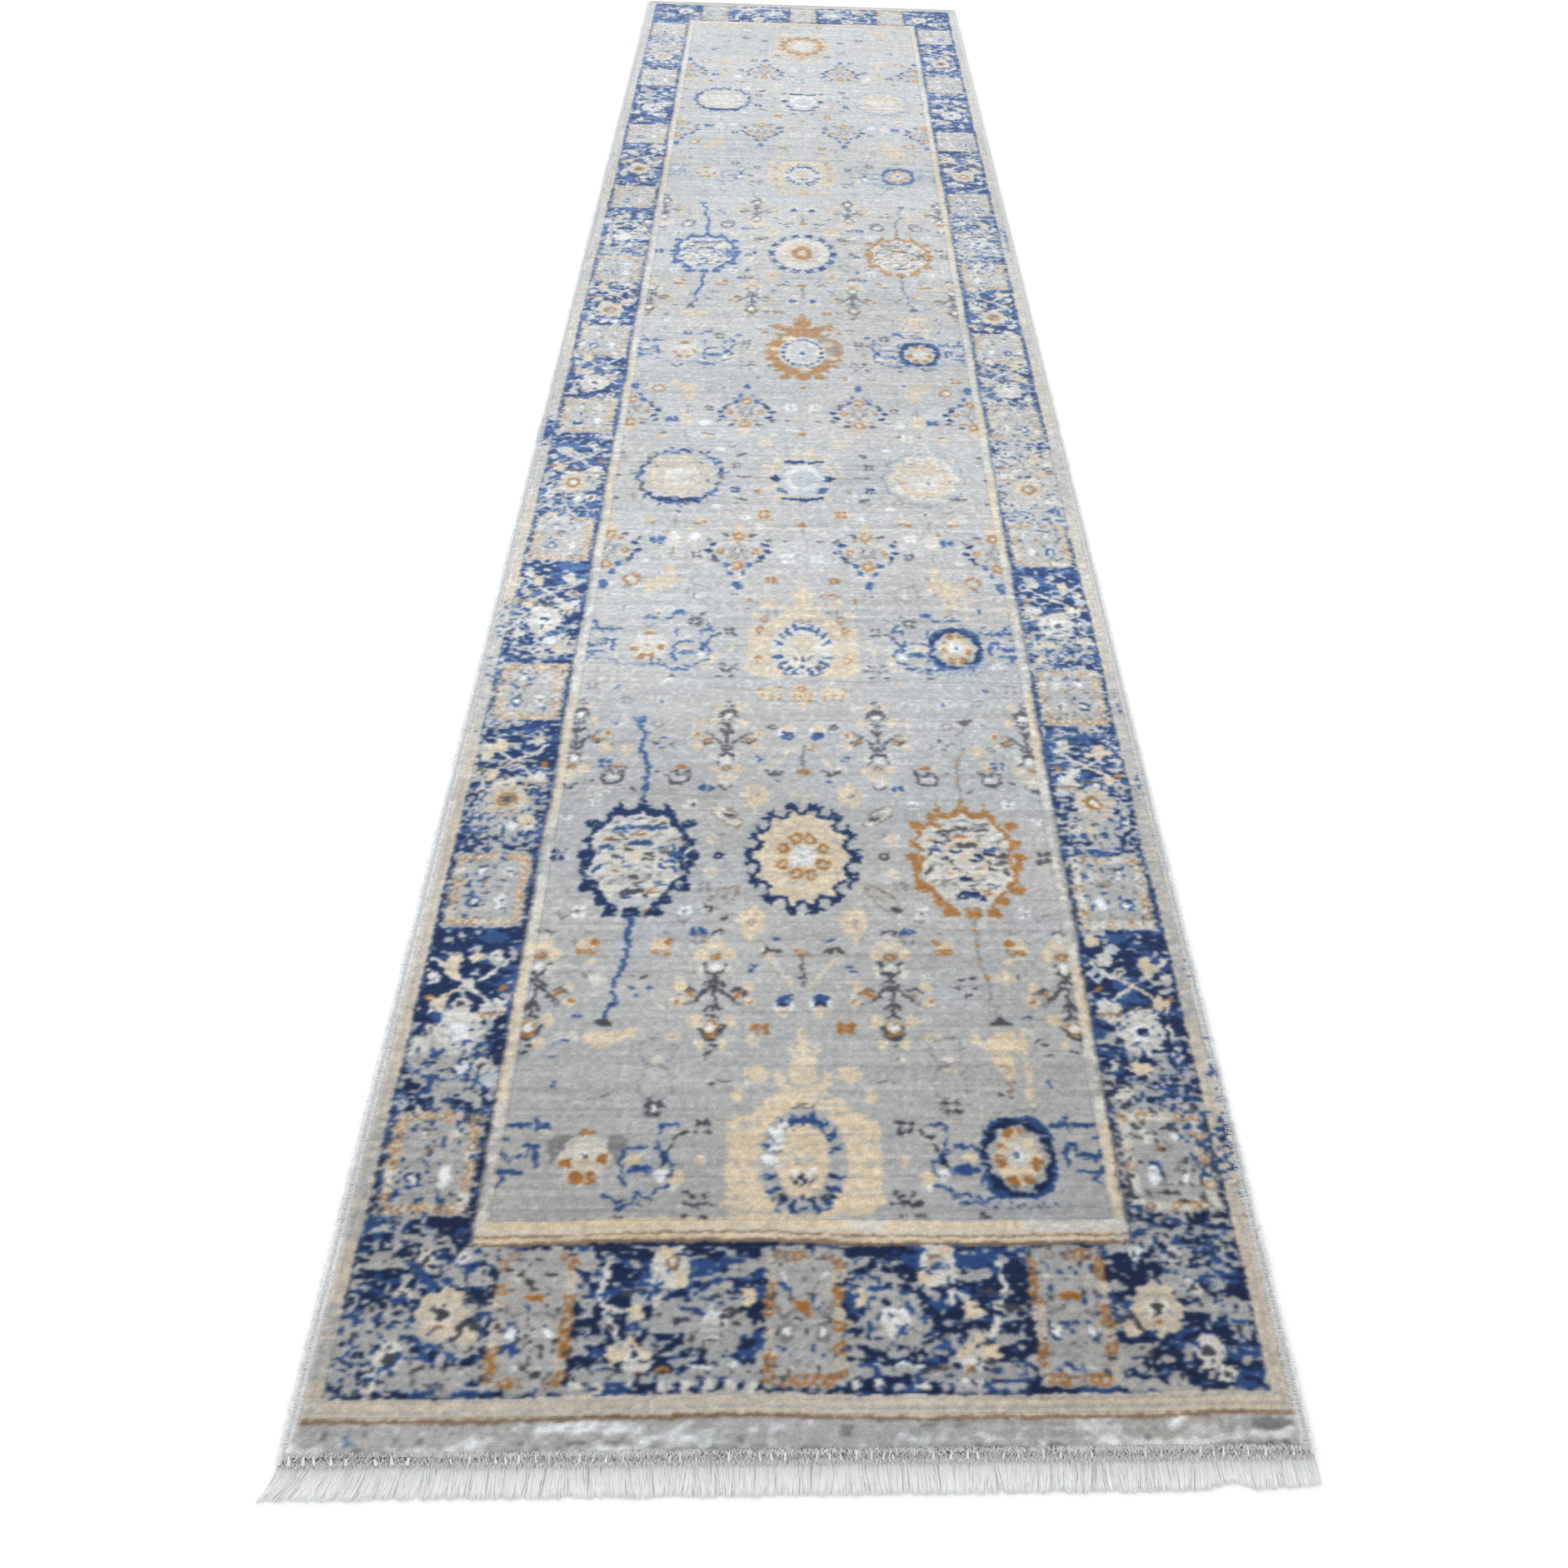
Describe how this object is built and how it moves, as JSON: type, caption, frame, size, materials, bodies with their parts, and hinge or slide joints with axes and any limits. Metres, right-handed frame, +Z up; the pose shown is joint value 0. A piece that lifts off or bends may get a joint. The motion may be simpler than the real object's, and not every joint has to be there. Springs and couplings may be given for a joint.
{
  "type": "runner rug",
  "caption": "Long low-pile runner rug in a worn oriental pattern, with a cream-edged blue border, overcast long edges and a white cotton fringe that folds up at each end.",
  "frame": {"origin": "centre of the underside, on the floor that the runner lies on", "axes": "+Z up out of the pile, +Y along the runner away from the near end, +X across it to the right"},
  "size_m": [1.02, 4.0606, 0.0095],
  "materials": {
    "latex_back": "matt latex coat soaked into the back of the weave",
    "ground_yarn": "coarse plain weave",
    "pile_field_yarn": "low cut pile, soft sheen, worn light grey ground with small motifs",
    "pile_cream_yarn": "low cut pile, cream, faded in patches",
    "pile_blue_yarn": "low cut pile, blue to navy, worn through to grey in patches",
    "pile_grey_yarn": "low cut pile, warm grey with silvery fibres at the ends",
    "edge_yarn": "overcast yarn, slightly fuzzy",
    "edge_cord": "twisted cord",
    "header_tape": "narrow woven cotton tape",
    "seam_thread": "white sewing thread, slight gloss",
    "fringe_cotton": "fine loose white cotton threads"
  },
  "bodies": {
    "carpet": {"latex_back_coat": "latex_back", "ground_weave": "ground_yarn", "pile_field": "pile_field_yarn", "pile_inner_guard_stripe": "pile_cream_yarn", "pile_main_border": "pile_blue_yarn", "pile_outer_guard_stripe": "pile_cream_yarn", "pile_plain_margin": "pile_grey_yarn", "edge_overcasting_left": "edge_yarn", "edge_overcasting_right": "edge_yarn", "edge_cord_left": "edge_cord", "edge_cord_right": "edge_cord", "fringe_header_tape_near": "header_tape", "fringe_header_tape_far": "header_tape", "fringe_seam_thread_near": "seam_thread", "fringe_seam_thread_far": "seam_thread"},
    "fringe_near": {"fringe_threads_near": "fringe_cotton"},
    "fringe_far": {"fringe_threads_far": "fringe_cotton"}
  },
  "joints": [
    {"name": "fringe_near_fold", "type": "hinge", "parent": "carpet", "child": "fringe_near", "pos_m": [0, -2, 0.0066], "axis": [-1, 0, 0], "range_deg": [0, 180]},
    {"name": "fringe_far_fold", "type": "hinge", "parent": "carpet", "child": "fringe_far", "pos_m": [0, 2, 0.0066], "axis": [1, 0, 0], "range_deg": [0, 180]}
  ]
}
